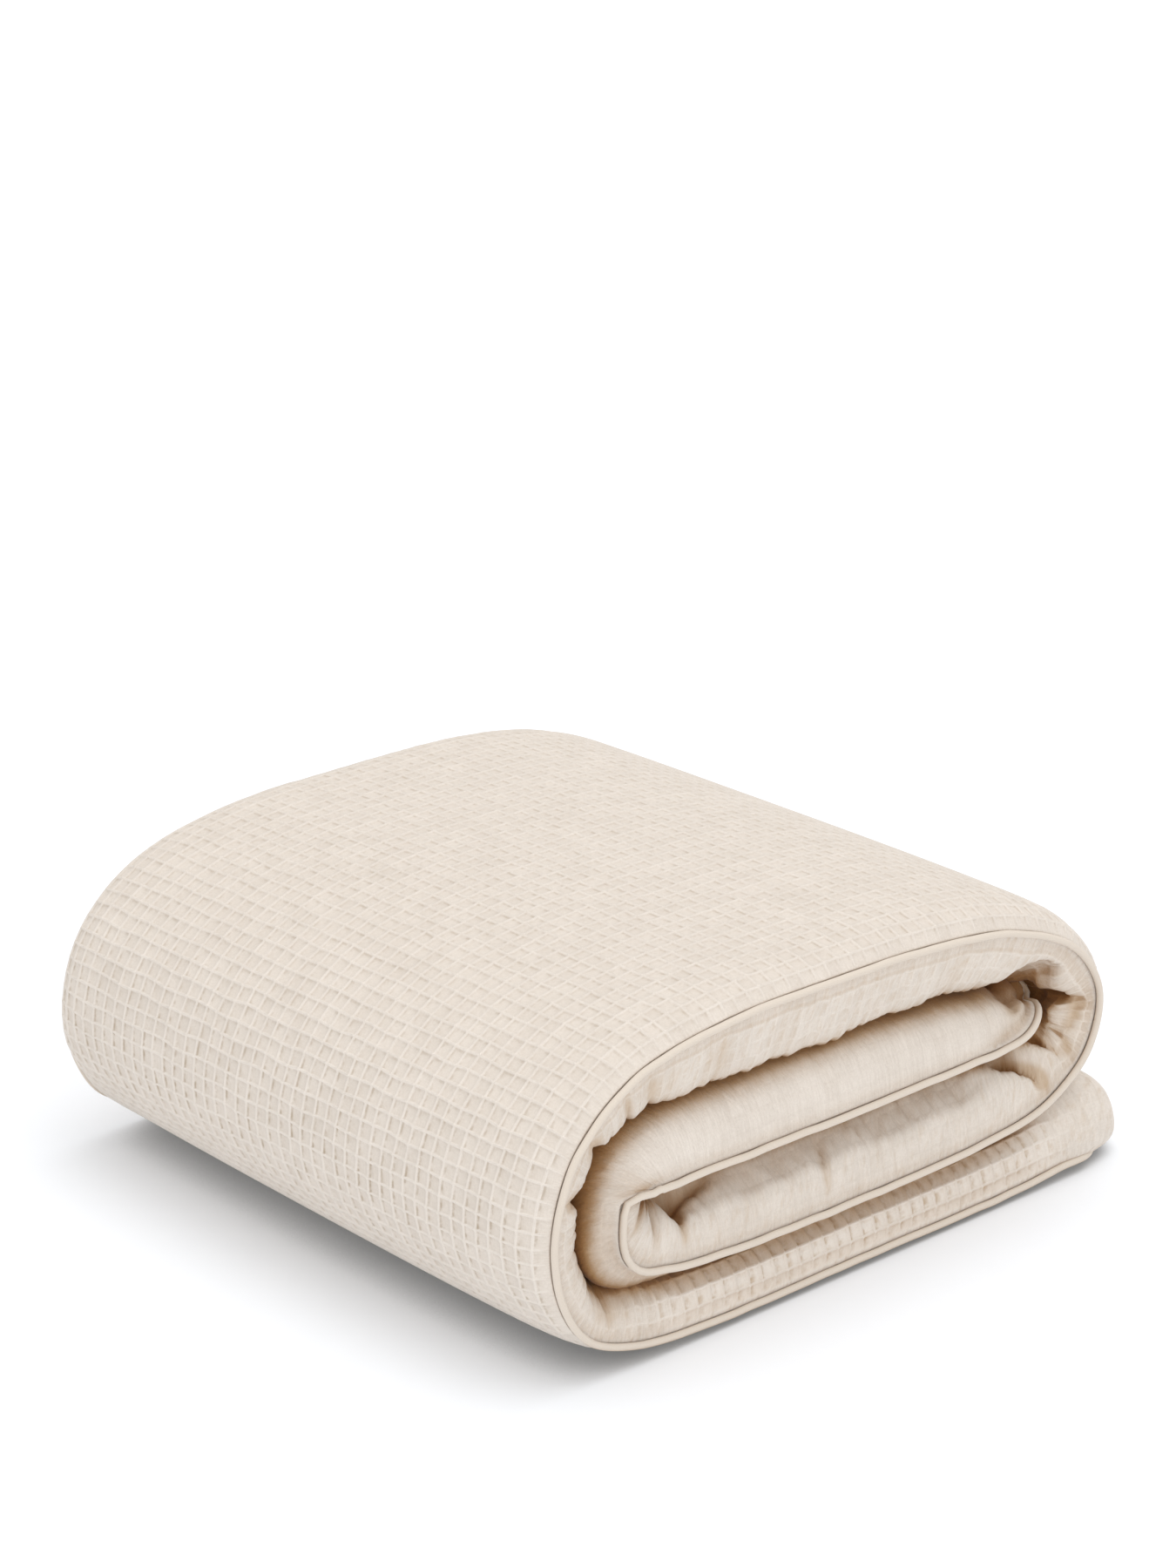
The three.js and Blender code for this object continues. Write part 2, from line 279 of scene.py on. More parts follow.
# Creases of the near side, in mm: how far along the fold they start, how deep and wide they are, how far in
# from the seam they reach and how much they lean along the fold on the way. A crease of less than no depth is
# a swollen lobe. The far side has its own, moved a little.
creases = {
    "inner": table(
        "place at deep wide reach lean",
        ("bottom end", 20, 1.4, 3, 30, 0.5),
        ("bottom end", 33, 1.2, 3, 30, 0.2),
        ("heel", 316, 5, 6, 40, 0.1),
        ("left bend", 362, 6, 5, 40, 0),
        ("left bend", 393, 10, 5, 46, -0.1),
        ("left bend", 421, 9, 5, 42, 0.15),
        ("left shoulder", 445, 6, 4, 30, 0),
        ("left shoulder", 460, 7, 5, 36, 0.2),
        ("top run", 503, 4, 6, 34, 0.1),
        ("top run", 548, 1.4, 7, 30, -0.2),
        ("top run", 600, 1.4, 8, 30, 0.1),
        ("top run", 651, 3, 7, 32, 0),
        ("top lobe", 690, -4.4, 16, 90, -0.4),
        ("middle run", 940, 4, 2.6, 44, -0.35),
        ("inner bend", 1026, 6, 3, 44, -0.4),
        ("inner bend", 1033, -3, 5, 50, -0.2),
        ("inner bend", 1041, 6, 2.4, 34, 0),
        ("inner bend", 1055, 7, 2.4, 30, 0),
        ("inner bend", 1068, 5, 3, 30, 0),
    ),
    "outer": table(
        "place at deep wide reach lean",
        ("upper run", 1190, 1, 5, 40, 0.1),
        ("upper run", 1262, 1.2, 6, 44, -0.2),
        ("tucked end", 1298, 2.4, 4, 40, -0.3),
    ),
    "sharpness": 1.15,  # 1 is a fold with an edge, 2 a soft trough
    "stray": 2.2,  # how far a crease strays from its line
    "strayStep": 13,
    "straySeed": 90,
    "farMove": 9,
    "farNoise": 500,  # the far side reads the noise elsewhere
    "seed": 4,
}


def creaseDepth(face, length, across, fromSide):
    depth = np.zeros_like(length)
    draw = np.random.RandomState(creases["seed"])
    far = across > 0
    for i, row in enumerate(creases[face]):
        move, scale = draw.uniform(-1, 1) * creases["farMove"], draw.uniform(0.7, 1.1)
        seed, begin = creases["straySeed"] + i, creases["farNoise"] * far
        stray = softNoise(seed, fromSide / creases["strayStep"] + begin) - softNoise(seed, begin)
        at = row["at"] + np.where(far, move, 0) + row["lean"] * fromSide + creases["stray"] * stray
        fade = np.clip(1 - fromSide / row["reach"], 0, 1)
        power = creases["sharpness"] if row["deep"] > 0 else 2
        shape = np.exp(-np.abs((length - at) / row["wide"]) ** power)
        depth += row["deep"] * np.where(far, scale, 1) * fade * shape
    return depth


# Folds in the inner cloth of the bends and in the outer cloth by the tucked end, each from one place to
# another: how far along the fold and how far in from the seam, in mm. A fold of less than no depth is a
# swollen lobe.
bendFolds = {
    "inner": table(
        "place start end deep wide",
        ("between the top lobes", (735, 0.5), (707, 7), 3.5, 5),
        ("second lobe", (733, 0.8), (734, 12.7), -8.3, 9.7),
        ("under the second lobe", (747, 9), (742, 31), 13, 4.4),
        ("under the second lobe", (755, 0.5), (748, 8), 3.5, 2.6),
        ("behind the tucked end", (752, 22), (748, 60), 9, 16),
        ("column", (758, 8), (782, 5), -5, 7),
        ("beside the column", (753, 3), (768, 4.5), 6, 4),
        ("crumple", (756, 0.4), (757, 2.6), 2, 2),
        ("crumple", (762, 0.3), (762, 2.2), 2, 2),
        ("wedge", (780, 0.5), (775, 6), 8, 4),
        ("diagonal", (786, 3), (793, 12), 11, 5),
        ("lower lobe", (790, 1), (806, 12), -8, 8),
        ("right foot", (798, 0.5), (816, 12), 15, 4.6),
        ("end of the middle run", (812, 0.5), (834, 12), -4, 8),
        ("beside the pocket", (1028, 22), (1027, 10), 4.5, 5),
        ("above the middle run", (1026, 15), (1004, 17), 6, 6),
    ),
    "outer": table(
        "place start end deep wide",
        ("behind the lobes", (1317, 9), (1319, 34), 7, 6),
        ("behind the lobes", (1319, 34), (1315, 70), 4, 6),
    ),
    "steep": 1.7,  # the cloth rises steeply from the seam, so a step in from it counts for more
    "sharpness": 1.4,
    "farMove": 6,
}


def bendDepth(face, length, across, fromSide):
    depth = np.zeros_like(length)
    moved = length + np.where(across > 0, bendFolds["farMove"], 0)
    place = np.stack([moved, fromSide * bendFolds["steep"]], -1)
    for row in bendFolds[face]:
        start, end = [np.array((p[0], p[1] * bendFolds["steep"])) for p in (row["start"], row["end"])]
        line = end - start
        t = np.clip((place - start) @ line / (line @ line), 0, 1)
        away = np.linalg.norm(place - start - t[..., None] * line, axis=-1)
        power = bendFolds["sharpness"] if row["deep"] > 0 else 2
        depth += row["deep"] * np.exp(-(away / row["wide"]) ** power)
    return depth


# Puckers that run in from the seam of the tucked end, in mm from the middle of the quilt
puckers = table(
    "across deep wide reach",
    (152, 7, 4, 34),
    (121, 4, 6, 30),
    (84, 3, 7, 26),
    (40, 4, 7, 30),
    (-8, 3, 8, 26),
)


def puckerDepth(length, across):
    fromEnd = foldLength - length
    depth = np.zeros_like(length)
    for row in puckers:
        fade = np.clip(1 - fromEnd / row["reach"], 0, 1)
        for side in (-1, 1):
            shape = np.exp(-np.abs((side * across - row["across"]) / row["wide"]) ** creases["sharpness"])
            depth += row["deep"] * fade * shape
    return depth


# Uneven soft folds in the inner cloth by the long seams
rumples = {
    "waves": [
        dict(deep=1.1, pitch=5.2, slope=0.22),
        dict(deep=0.8, pitch=2.6, slope=0.35),
        dict(deep=0.45, pitch=1.3, slope=0.5),
    ],
    "reach": 52,
    "farNoise": 40,
    "seed": 81,
}


def rumpleDepth(length, across, fromSide):
    depth = 0
    fade = np.clip(1 - fromSide / rumples["reach"], 0, 1) * smoothstep(length, *fold["bottomRun"])
    for i, row in enumerate(rumples["waves"]):
        begin = np.sign(across) * rumples["farNoise"]
        inward = row["slope"] * fromSide / row["pitch"]
        wave = ripple(rumples["seed"] + i, length / row["pitch"] + begin, inward)
        depth = depth + row["deep"] * (1 - 2 * np.abs(wave)) * fade
    return depth


# Small gathers beside the seams, where the stitching draws the cloth in
gathers = {
    "waves": [dict(deep=0.5, pitch=3.3, reach=10), dict(deep=1, pitch=7.3, reach=18)],
    "outerShare": 0.35,
    "bottomShare": 0.25,  # in the inner cloth of the bottom run
    "seed": {1: 11, -1: 31},
    "farSeed": 7,
}


def gatherDepth(side, length, across, fromSide):
    depth = 0
    for i, row in enumerate(gathers["waves"]):
        seed = gathers["seed"][side] + i
        near = softNoise(seed, length / row["pitch"])
        far = softNoise(seed + gathers["farSeed"], length / row["pitch"])
        depth = depth + row["deep"] * np.where(across > 0, far, near) * np.exp(-fromSide / row["reach"])
    if side > 0:
        return depth * gathers["outerShare"]
    least = gathers["bottomShare"]
    return depth * (least + (1 - least) * smoothstep(length, *fold["bottomRun"]))


# All of those folds together, at places on the outer or the inner cloth
def troughDepth(length, across, side):
    fromSide, face = fromSides(length, across), faceName(side)
    depth = creaseDepth(face, length, across, fromSide) + bendDepth(face, length, across, fromSide)
    depth = depth + gatherDepth(side, length, across, fromSide) + puckerDepth(length, across)
    if side < 0:
        depth = depth + rumpleDepth(length, across, fromSide)
    return depth


# The padding is a little uneven under the outer cloth
padding = {"uneven": 0.6, "wave": 40, "clearOfSeam": 40, "seed": 71}


# How far in from the nearest seam a place lies, round corners included
def fromOutline(length, across):
    r = fold["cornerRadius"]
    toEnd, toSide = fromEnds(length), fold["width"] / 2 - np.abs(across)
    corner = r - np.hypot(np.maximum(r - toEnd, 0), np.maximum(r - toSide, 0))
    inCorner = (toEnd < r) & (toSide < r)
    return np.maximum(np.where(inCorner, corner, np.minimum(toEnd, toSide)), 0)


# In from the seams the layers swell until they nearly meet, which closes the gaps between them
packing = {
    "apart": 1.2,
    "nearest": 0.5,  # a cloth doesn't meet itself
    "farthest": 30,
    "most": 11,
    "inward": (12, 42),  # from a seam in to where it starts and is full
    "begin": {1: lengthAtRow(18), -1: 90},  # how far along the fold, for the outer and the inner cloth
    "growth": 40,
    "clearOfEnd": (20, 60),
    "smooth": 0.9,  # a step of the smoothing
    "smoothSteps": 20,
    "every": 5,
}


def crossed(a, b):
    return a[..., 0] * b[..., 1] - a[..., 1] * b[..., 0]


# How far each cloth has to swell for that, at even steps along the fold
def packedLayers():
    s = sectionAt(fine["length"])
    lines = {side: placed(s, np.zeros_like(s["length"]), side * s["half"])[:, [0, 2]] for side in (1, -1)}
    starts = np.vstack([line[:-1] for line in lines.values()])
    steps = np.vstack([np.diff(line, axis=0) for line in lines.values()])
    reach = packing["smoothSteps"]
    kernel = np.exp(-np.linspace(-2, 2, 2 * reach + 1) ** 2)
    swell = {}
    for side, line in lines.items():
        at = np.arange(0, len(line), packing["every"])
        out = np.stack([-s["alongZ"], s["alongX"]], 1)[at][:, None] * side
        to = starts - line[at][:, None]
        turn = crossed(out, steps)
        turn = np.where(np.abs(turn) < 1e-9, 1e-9, turn)
        far, share = crossed(to, steps) / turn, crossed(to, out) / turn
        met = (share >= 0) & (share <= 1)
        met = met & (far > packing["nearest"]) & (far < packing["farthest"])
        gap = np.where(met, far, math.inf).min(axis=1)
        need = np.clip((gap - packing["apart"]) / 2, 0, packing["most"])
        need = np.where(gap < packing["farthest"], need, 0)
        even = np.arange(0, foldLength, packing["smooth"])
        need = np.interp(even, s["length"][at], need)
        need = np.convolve(np.pad(need, reach, "edge"), kernel / kernel.sum(), "valid")
        begin = packing["begin"][side]
        need = need * smoothstep(even, begin, begin + packing["growth"])
        swell[side] = even, need * smoothstep(foldLength - even, *packing["clearOfEnd"])
    return swell


packed = packedLayers()


# The left bend lifts off the floor in a round heel, more so at its far side
heel = {"at": 328, "wide": 30, "lift": 7.4, "farMore": 0.18}


# How far out from the middle of the padding a cloth lies, with or without its small folds. Side 1 is the
# outer cloth and side -1 the inner cloth.
def clothOut(s, across, side, folded):
    roundSize = fold[faceName(side) + "Round"]
    fromSide = fromSides(s["length"], across)
    full = s["half"] - fold["crown"] * (2 * across / fold["width"]) ** 2 - side * s["seam"]
    full = full + np.interp(s["length"], *packed[side]) * smoothstep(fromSide, *packing["inward"])
    if folded:
        full = full - troughDepth(s["length"], across, side)
    bulge = "belly" if side > 0 else "sag"
    hang = fromSide / fold[bulge + "Peak"]
    full = full + s[bulge] * (hang * np.exp(1 - hang)) ** 2
    if side > 0:
        heelLift = heel["lift"] * (1 + heel["farMore"] * 2 * across / fold["width"])
        full = full - heelLift * np.exp(-((s["length"] - heel["at"]) / heel["wide"]) ** 2)
        uneven = ripple(padding["seed"], s["length"] / padding["wave"], across / padding["wave"])
        full = full + padding["uneven"] * uneven * smoothstep(fromSide, 0, padding["clearOfSeam"])
    inward = fromOutline(s["length"], across)
    if side > 0:
        flat = tuckedSeam["flat"] * smoothstep(s["length"], *tuckedSeam["flatStart"])
        inward = np.maximum(inward - flat, 0)
    lift = full * rise(inward, roundSize, s["length"])
    return s["seam"] + side * np.maximum(lift, fold["seamThickness"] / 2)


# The inner cloth swells out past the seams of the ends and their corners, over the piping
swelling = {
    "sizes": {  # at the end on the surface and at the tucked end
        "ahead": (16.5, 7),
        "aside": (4.5, 3),
        "droop": (0.3, 0),
        "start": (11, 16),
        "along": (50, 34),
        "reach": (40, 26),
    },
    "fadePower": 1.5,
    "fullShare": 0.8,
    "asideStart": 4,
}


def endSwell(s, across, out):
    r = fold["cornerRadius"]
    first = s["length"] < foldLength / 2
    size = {name: np.where(first, *pair) for name, pair in swelling["sizes"].items()}
    toEnd, toSide = fromEnds(s["length"]), fold["width"] / 2 - np.abs(across)
    inEnd, inSide = np.maximum(r - toEnd, 0), np.maximum(r - toSide, 0)
    endShare = np.where(inEnd > 0, inEnd / np.maximum(np.hypot(inEnd, inSide), 0.01), 0)
    left = np.clip(1 - fromOutline(s["length"], across) / size["reach"], 0, 1) ** swelling["fadePower"]
    below = 1 - np.clip((s["seam"] - out) / size["start"], 0, 1)
    clear = left * np.sqrt(1 - below * below)
    ahead = size["ahead"] * clear * smoothstep(endShare, 0, swelling["fullShare"])
    byEnd = 1 - smoothstep(toEnd, swelling["asideStart"], size["along"])
    aside = size["aside"] * clear * byEnd * smoothstep(inSide, 0, r)
    low = np.clip(1 - (s["seam"] - out) / (2 * s["half"]), 0, 1)
    drop = size["droop"] * low * np.hypot(ahead, aside)
    forward = np.where(first, -1, 1) * ahead
    return np.stack([s["alongX"] * forward, np.sign(across) * aside, s["alongZ"] * forward - drop], -1)


def clothPoints(s, across, side, folded=True):
    out = clothOut(s, across, side, folded)
    points = placed(s, across, out)
    if side < 0:
        points = points + endSwell(s, across, out)
    points[:, 2] = np.maximum(points[:, 2], 0)
    return points


# The quilt's skin: both cloths as rows of points across the quilt, joined at the seams, with points on each
# side of every waffle ridge that shows. Cells that never show are left coarse.
skin = {
    "cell": 7.8,
    "cellsAcross": {1: 45, -1: 48},  # on the outer and the inner cloth
    "ridgeSteps": (0, 0.12, 0.88),
    "ribSteps": (0, 0.12, 0.5, 0.88),
    "evenSteps": (0, 0.33, 0.67),
    "closeSteps": (0, 0.25, 0.5, 0.75),
    "coarseCells": 3,
    "endSteps": (0.12, 0.4, 1.1, 2.3, 3.4, 4.6, 5.6),  # extra rows by each end
    "guideSteps": 220,
    "ridgeHeight": 0.85,
    "ridgeTop": 0.03,  # parts of a cell, as are the foot and the steps
    "ridgeFoot": 0.125,
    "wobble": 0.4,  # how far a ridge strays, in mm
    "wobbleStep": 1.6,
    "wobbleSeeds": (65, 62),  # along and across
    "steady": (1, 10),  # ridges don't stray on the steep sides by the seams, nor by the ends
    "clearOfEnds": 12,
    "bareEdge": (0.5, 6),
    "innerFrom": 100,  # cells of the inner cloth are counted from here
    "outerBelow": 80.0,  # so a lower number is on the outer cloth
    "foldTint": (1, 16),  # mm from the seam, where the painted shade of small folds starts and where it is full
    # how much the folds of the bends count in that painted shade
    "bendTint": 0.4,
    "stretches": {  # up to a row of the fold, how many cells in from each seam are fine
        1: table(
            "place upTo fine steps",
            ("end on the surface", 0.9, 3, "evenSteps"),
            ("bottom run", 4.4, 2, "ridgeSteps"),
            ("outside of the fold", 17.9, 23, "ridgeSteps"),
            ("middle run", 21.8, 3, "evenSteps"),
            ("inner bend", 27.8, 6, "closeSteps"),
            ("upper run", 33, 8, "evenSteps"),
        ),
        -1: table(
            "place upTo fine steps",
            ("end on the surface", 0.9, 24, "evenSteps"),
            ("bottom run", 4.4, 5, "ribSteps"),
            ("inside of the fold", 13.6, 5, "closeSteps"),
            ("right bend", 18.6, 9, "closeSteps"),
            ("middle run", 21.8, 7, "closeSteps"),
            ("inner bend", 27.8, 5, "closeSteps"),
            ("upper run", 33, 3, "evenSteps"),
        ),
    },
}


# Counts the waffle cells along the fold, on the outer cloth
def cellsAlong():
    s = sectionAt(fine["length"])
    line = placed(s, np.zeros_like(s["length"]), s["half"])
    run = np.concatenate([[0], np.cumsum(np.linalg.norm(np.diff(line, axis=0), axis=1))])
    count = round(run[-1] / skin["cell"])
    return run / run[-1] * count, count


cellAtLength, cellCount = cellsAlong()


def cellAt(row):
    return float(np.interp(lengthAtRow(row), fine["length"], cellAtLength))


def stretchAt(length, side):
    for stretch in skin["stretches"][side]:
        if length <= lengthAtRow(stretch["upTo"]) + 1e-6:
            return stretch
    return skin["stretches"][side][-1]


def rowLengths(side):
    lengths = []
    for cell in range(cellCount):
        start = float(np.interp(cell, cellAtLength, fine["length"]))
        steps = skin[stretchAt(start, side)["steps"]]
        lengths += [float(np.interp(cell + step, cellAtLength, fine["length"])) for step in steps]
    for step in skin["endSteps"]:
        lengths += [step, foldLength - step]
    return sorted({0.0, foldLength, *lengths})


def rowCells(stretch, side):
    count = skin["cellsAcross"][side]
    cells = [0, count]
    for cell in range(count):
        if min(cell, count - 1 - cell) < stretch["fine"]:
            cells += [cell + step for step in skin[stretch["steps"]]]
        elif (cell - stretch["fine"]) % skin["coarseCells"] == 0:
            cells.append(cell)
    return np.array(sorted(set(cells)), float)


# One cloth's rows of points, one after another: their places, waffle cells with relief, distances from the
# seam, how flat the cloth lies there and how deep in a fold they are, then the rows' keys
def clothRows(lengths, side):
    count = skin["cellsAcross"][side]
    turn = np.sin(np.linspace(-np.pi / 2, np.pi / 2, skin["guideSteps"]))
    guide = halfWidth(lengths)[:, None] * turn
    profile = clothPoints(sectionAt(np.repeat(lengths, len(turn))), guide.ravel(), side, folded=False)
    profile = profile.reshape(*guide.shape, 3)
    run = np.cumsum(np.linalg.norm(np.diff(profile, axis=1), axis=2), axis=1)
    run = np.hstack([np.zeros((len(lengths), 1)), run])
    stretches = [stretchAt(length, side) for length in lengths]
    rows = [rowCells(stretch, side) for stretch in stretches]
    cells = np.concatenate(rows)
    row = np.repeat(np.arange(len(rows)), [len(one) for one in rows])
    spans = run / run[:, -1:] * count
    across = np.concatenate([np.interp(one, spans[i], guide[i]) for i, one in enumerate(rows)])
    fromSide = np.minimum(cells, count - cells)
    fromSeam = fromSide * run[row, -1] / count
    length = lengths[row]
    along = np.interp(length, fine["length"], cellAtLength)
    steady = smoothstep(halfWidth(length) - np.abs(across), *skin["steady"])
    loose = skin["wobble"] * steady * smoothstep(fromEnds(length), 0, skin["clearOfEnds"])
    waveAt = along * skin["wobbleStep"], cells * skin["wobbleStep"]
    strays = [loose * ripple(seed + side, *waveAt) for seed in skin["wobbleSeeds"]]
    s = sectionAt(length + strays[0])
    points = clothPoints(s, across + strays[1], side)
    fineCells = np.array([stretch["fine"] for stretch in stretches])[row]
    shown = np.where(fineCells < count // 2, smoothstep(fineCells - fromSide, 0, 1), 1)
    edge = smoothstep(fromSeam, *skin["bareEdge"]) * smoothstep(fromEnds(s["length"]), *skin["bareEdge"])
    relief = s[faceName(side)] * shown * edge
    weave = np.stack([along, cells + (0 if side > 0 else skin["innerFrom"]), relief], 1)
    inward = fromSides(s["length"], points[:, 1])
    folds = bendDepth(faceName(side), s["length"], points[:, 1], inward)
    trough = troughDepth(s["length"], points[:, 1], side) + skin["bendTint"] * folds
    trough = trough * smoothstep(fromSeam, *skin["foldTint"])
    lying = np.abs(s["alongX"])
    columns = {"points": points, "weave": weave, "fromSeam": fromSeam, "lying": lying, "trough": trough}
    return columns, [one / count for one in rows]


# Faces between two rows of vertices whose keys rise
def zipRows(a, keyA, b, keyB):
    faces = []
    i = j = 0
    while i < len(a) - 1 or j < len(b) - 1:
        nextA = keyA[i + 1] if i < len(a) - 1 else math.inf
        nextB = keyB[j + 1] if j < len(b) - 1 else math.inf
        if abs(nextA - nextB) < 1e-6:
            faces.append((a[i], b[j], b[j + 1], a[i + 1]))
            i, j = i + 1, j + 1
        elif nextA < nextB:
            faces.append((a[i], b[j], a[i + 1]))
            i += 1
        else:
            faces.append((a[i], b[j], b[j + 1]))
            j += 1
    return faces


# One cloth's points and the faces between its rows, numbered from a first vertex
def clothSheet(side, first):
    lengths = np.array(rowLengths(side))
    columns, keys = clothRows(lengths, side)
    starts = first + np.concatenate([[0], np.cumsum([len(key) for key in keys])])
    numbers = [np.arange(a, b) for a, b in zip(starts, starts[1:])]
    faces = []
    for i in range(len(keys) - 1):
        a, b = (i, i + 1) if side > 0 else (i + 1, i)
        faces += zipRows(numbers[a], keys[a], numbers[b], keys[b])
    edges = [np.array([row[0] for row in numbers]), np.array([row[-1] for row in numbers])]
    ends = [(numbers[i], keys[i]) for i in (0, -1)]
    made = {"lengths": lengths, "faces": faces, "edges": edges, "ends": ends, "count": starts[-1] - first}
    return {**made, **columns}


def quiltMesh():
    outer = clothSheet(1, 0)
    inner = clothSheet(-1, outer["count"])
    faces = outer["faces"] + inner["faces"]
    faces += zipRows(outer["edges"][0], outer["lengths"], inner["edges"][0], inner["lengths"])
    faces += zipRows(inner["edges"][1], inner["lengths"], outer["edges"][1], outer["lengths"])
    faces += zipRows(*inner["ends"][0], *outer["ends"][0])
    faces += zipRows(*outer["ends"][1], *inner["ends"][1])
    names = "points", "weave", "fromSeam", "lying", "trough"
    joined = {name: np.concatenate([outer[name], inner[name]]) for name in names}
    mesh = bpy.data.meshes.new("quiltSkin")
    mesh.from_pydata((joined["points"] * mm).tolist(), [], [tuple(int(v) for v in face) for face in faces])
    mesh.attributes.new("weave", "FLOAT_VECTOR", "POINT").data.foreach_set("vector", joined["weave"].ravel())
    for name in names[2:]:
        mesh.attributes.new(name, "FLOAT", "POINT").data.foreach_set("value", joined[name])
    return mesh


# Wraps a socket of a node tree, so that maths on it is written as an expression
class Wire:
    def __init__(self, tree, socket=None):
        self.tree = tree
        self.socket = socket

    # Any node: its type, its settings, the values or links of its sockets, and which output to carry on from
    def node(self, kind, settings=None, sockets=None, out=0):
        made = self.tree.nodes.new(kind)
        for name, value in (settings or {}).items():
            setattr(made, name, value)
        for key, value in (sockets or {}).items():
            if isinstance(value, Wire):
                self.tree.links.new(value.socket, made.inputs[key])
            else:
                made.inputs[key].default_value = value
        return Wire(self.tree, made.outputs[out])

    def math(self, operation, *values):
        return self.node("ShaderNodeMath", {"operation": operation}, dict(enumerate(values)))

    def __add__(self, other):
        return self.math("ADD", self, other)

    def __radd__(self, other):
        return self.math("ADD", other, self)

    def __sub__(self, other):
        return self.math("SUBTRACT", self, other)

    def __rsub__(self, other):
        return self.math("SUBTRACT", other, self)

    def __mul__(self, other):
        return self.math("MULTIPLY", self, other)

    def __rmul__(self, other):
        return self.math("MULTIPLY", other, self)

    # From 1 where the value is low, smoothly down to 0 where it is high
    def fade(self, low, high):
        settings = {"interpolation_type": "SMOOTHSTEP"}
        return self.node("ShaderNodeMapRange", settings, {0: self, 1: low, 2: high, 3: 1.0, 4: 0.0})

    # How far the value is from the nearest whole number
    def toRidge(self):
        return self.math("ABSOLUTE", self - self.math("ROUND", self))


def splitVector(wire):
    made = wire.node("ShaderNodeSeparateXYZ", None, {0: wire}).socket.node
    return [Wire(wire.tree, made.outputs[i]) for i in range(3)]


def geometryTree(name, inputs):
    tree = bpy.data.node_groups.new(name, "GeometryNodeTree")
    tree.interface.new_socket(name="Geometry", in_out="INPUT", socket_type="NodeSocketGeometry")
    tree.interface.new_socket(name="Geometry", in_out="OUTPUT", socket_type="NodeSocketGeometry")
    for label, kind in inputs.items():
        tree.interface.new_socket(name=label, in_out="INPUT", socket_type=kind)
    source = tree.nodes.new("NodeGroupInput")
    return tree, {socket.name: Wire(tree, socket) for socket in source.outputs if socket.name}


def endTree(wires, geometry):
    smooth = geometry.node("GeometryNodeSetShadeSmooth", None, {"Geometry": geometry})
    real = smooth.node("GeometryNodeRealizeInstances", None, {"Geometry": smooth})
    dressed = real.node("GeometryNodeSetMaterial", None, {"Geometry": real, "Material": wires["Material"]})
    sink = geometry.tree.nodes.new("NodeGroupOutput")
    geometry.tree.links.new(dressed.socket, sink.inputs[0])


# Runs a tree on a mesh and keeps the result as a plain mesh object
def grow(name, mesh, tree, values):
    host = bpy.data.objects.new(name + "Host", mesh)
    bpy.context.scene.collection.objects.link(host)
    modifier = host.modifiers.new(name, "NODES")
    modifier.node_group = tree
    for item in tree.interface.items_tree:
        if item.in_out == "INPUT" and item.name in values:
            modifier[item.identifier] = values[item.name]
    bpy.context.view_layer.update()
    shaped = host.evaluated_get(bpy.context.evaluated_depsgraph_get())
    result = bpy.data.meshes.new_from_object(shaped)
    result.name = name
    bpy.data.objects.remove(host)
    piece = bpy.data.objects.new(name, result)
    bpy.context.scene.collection.objects.link(piece)
    return piece


# Raises the waffle's ridges from the cloth, and keeps it above the surface that it lies on
def waffleTree():
    inputs = dict.fromkeys(("Ridge Height", "Ridge Top", "Ridge Foot"), "NodeSocketFloat")
    tree, wires = geometryTree("waffle", {**inputs, "Material": "NodeSocketMaterial"})
    start = Wire(tree)
    weave = start.node("GeometryNodeInputNamedAttribute", {"data_type": "FLOAT_VECTOR"}, {"Name": "weave"})
    along, across, relief = splitVector(weave)
    shape = wires["Ridge Top"], wires["Ridge Foot"]
    ridge = start.math("MAXIMUM", along.toRidge().fade(*shape), across.toRidge().fade(*shape))
    height = (ridge - 0.4) * relief * wires["Ridge Height"]
    normal = start.node("GeometryNodeInputNormal")
    push = start.node("ShaderNodeVectorMath", {"operation": "SCALE"}, {0: normal, "Scale": height})
    raised = start.node("GeometryNodeSetPosition", None, {"Geometry": wires["Geometry"], "Offset": push})
    x, y, z = splitVector(start.node("GeometryNodeInputPosition"))
    floorZ = start.math("MAXIMUM", z, 0.0)
    above = start.node("ShaderNodeCombineXYZ", None, {0: x, 1: y, 2: floorZ})
    kept = start.node("GeometryNodeSetPosition", None, {"Geometry": raised, "Position": above})
    endTree(wires, kept)
    return tree


def newMaterial(name):
    material = bpy.data.materials.new(name)
    material.use_nodes = True
    tree = material.node_tree
    return material, Wire(tree), tree.nodes["Principled BSDF"]


def linear(*srgb):
    return [((c / 255 + 0.055) / 1.055) ** 2.4 for c in srgb] + [1]


def mixColour(share, a, b):
    return share.node("ShaderNodeMix", {"data_type": "RGBA"}, {0: share, 6: a, 7: b}, out=2)


def attribute(start, name, out="Fac"):
    return start.node("ShaderNodeAttribute", {"attribute_name": name}, out=out)


# How open a place is, from 0 to 1, as far as what lies within a distance closes it in
def opennessWithin(start, distance, samples):
    return start.node("ShaderNodeAmbientOcclusion", {"samples": samples}, {"Distance": distance}, out="AO")


# A bump over what lies under it, by its depth in mm
def bumped(height, strength, deep, **under):
    sockets = {"Height": height, "Strength": strength, "Distance": deep * mm, **under}
    return height.node("ShaderNodeBump", None, sockets)


def setSurface(shader, look, colour, bump):
    for name, wire in (("Base Color", colour), ("Normal", bump)):
        wire.tree.links.new(wire.socket, shader.inputs[name])
    shader.inputs["Roughness"].default_value = look["roughness"]
    shader.inputs["Sheen Weight"].default_value = look["sheen"]
    shader.inputs["Specular IOR Level"].default_value = look["gloss"]


